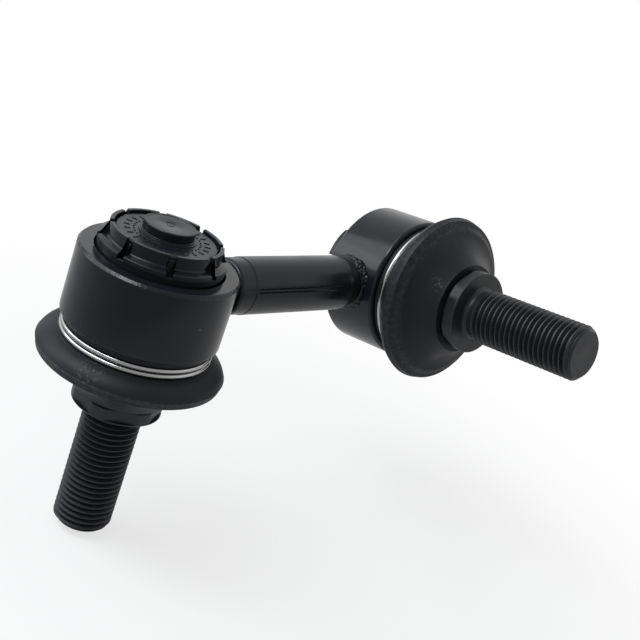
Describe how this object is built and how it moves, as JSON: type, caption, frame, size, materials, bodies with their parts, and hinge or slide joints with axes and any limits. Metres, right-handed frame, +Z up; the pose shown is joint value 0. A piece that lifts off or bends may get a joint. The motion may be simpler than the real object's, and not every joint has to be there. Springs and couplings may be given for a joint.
{
  "type": "stabilizer link",
  "caption": "Short stabilizer link: a straight bar with a booted ball joint welded to each end and two threaded studs set at an angle to each other.",
  "frame": {"origin": "centre of ball A, the ball of the joint whose stud points down", "axes": "+X along the bar from ball A to ball B, +Z up the axis of joint A from its stud to its cap, +Y completes the right-handed frame"},
  "size_m": [0.1082, 0.0718, 0.0743],
  "materials": {
    "bar_paint": "satin black paint",
    "weld_paint": "black paint over weld metal",
    "housing_paint": "satin black paint",
    "seat_plastic": "moulded black plastic",
    "plug_plastic": "moulded black plastic",
    "boot_rubber": "smooth black rubber",
    "clip_wire": "bright spring wire",
    "ring_steel": "plain steel",
    "stud_steel": "thin black coating on forged steel"
  },
  "bodies": {
    "link": {"rod": "bar_paint", "weld_bead_a": "weld_paint", "weld_bead_b": "weld_paint", "housing_a": "housing_paint", "housing_b": "housing_paint", "ball_seat_a": "seat_plastic", "ball_seat_b": "seat_plastic", "lock_plug_a": "plug_plastic", "lock_plug_b": "plug_plastic", "wire_clip_a": "clip_wire", "wire_clip_b": "clip_wire"},
    "boot_a": {"dust_boot_a": "boot_rubber"},
    "ring_a": {"boot_ring_a": "ring_steel"},
    "stud_a": {"ball_stud_a": "stud_steel"},
    "boot_b": {"dust_boot_b": "boot_rubber"},
    "ring_b": {"boot_ring_b": "ring_steel"},
    "stud_b": {"ball_stud_b": "stud_steel"}
  },
  "joints": [
    {"name": "swing_a", "type": "hinge", "parent": "link", "child": "boot_a", "pos_m": [0, 0, 0], "axis": [0, 1, 0], "range_deg": [-18, 18], "deforming": ["dust_boot_a"]},
    {"name": "sway_a", "type": "hinge", "parent": "boot_a", "child": "ring_a", "pos_m": [0, 0, 0], "axis": [1, 0, 0], "range_deg": [-18, 18], "deforming": ["dust_boot_a"]},
    {"name": "spin_a", "type": "hinge", "parent": "ring_a", "child": "stud_a", "pos_m": [0, 0, 0], "axis": [0, 0, 1], "continuous": true},
    {"name": "swing_b", "type": "hinge", "parent": "link", "child": "boot_b", "pos_m": [0.071, 0, 0], "axis": [0, -0.1908, -0.9816], "range_deg": [-18, 18], "deforming": ["dust_boot_b"]},
    {"name": "sway_b", "type": "hinge", "parent": "boot_b", "child": "ring_b", "pos_m": [0.071, 0, 0], "axis": [1, 0, 0], "range_deg": [-18, 18], "deforming": ["dust_boot_b"]},
    {"name": "spin_b", "type": "hinge", "parent": "ring_b", "child": "stud_b", "pos_m": [0.071, 0, 0], "axis": [0, 0.9816, -0.1908], "continuous": true}
  ]
}
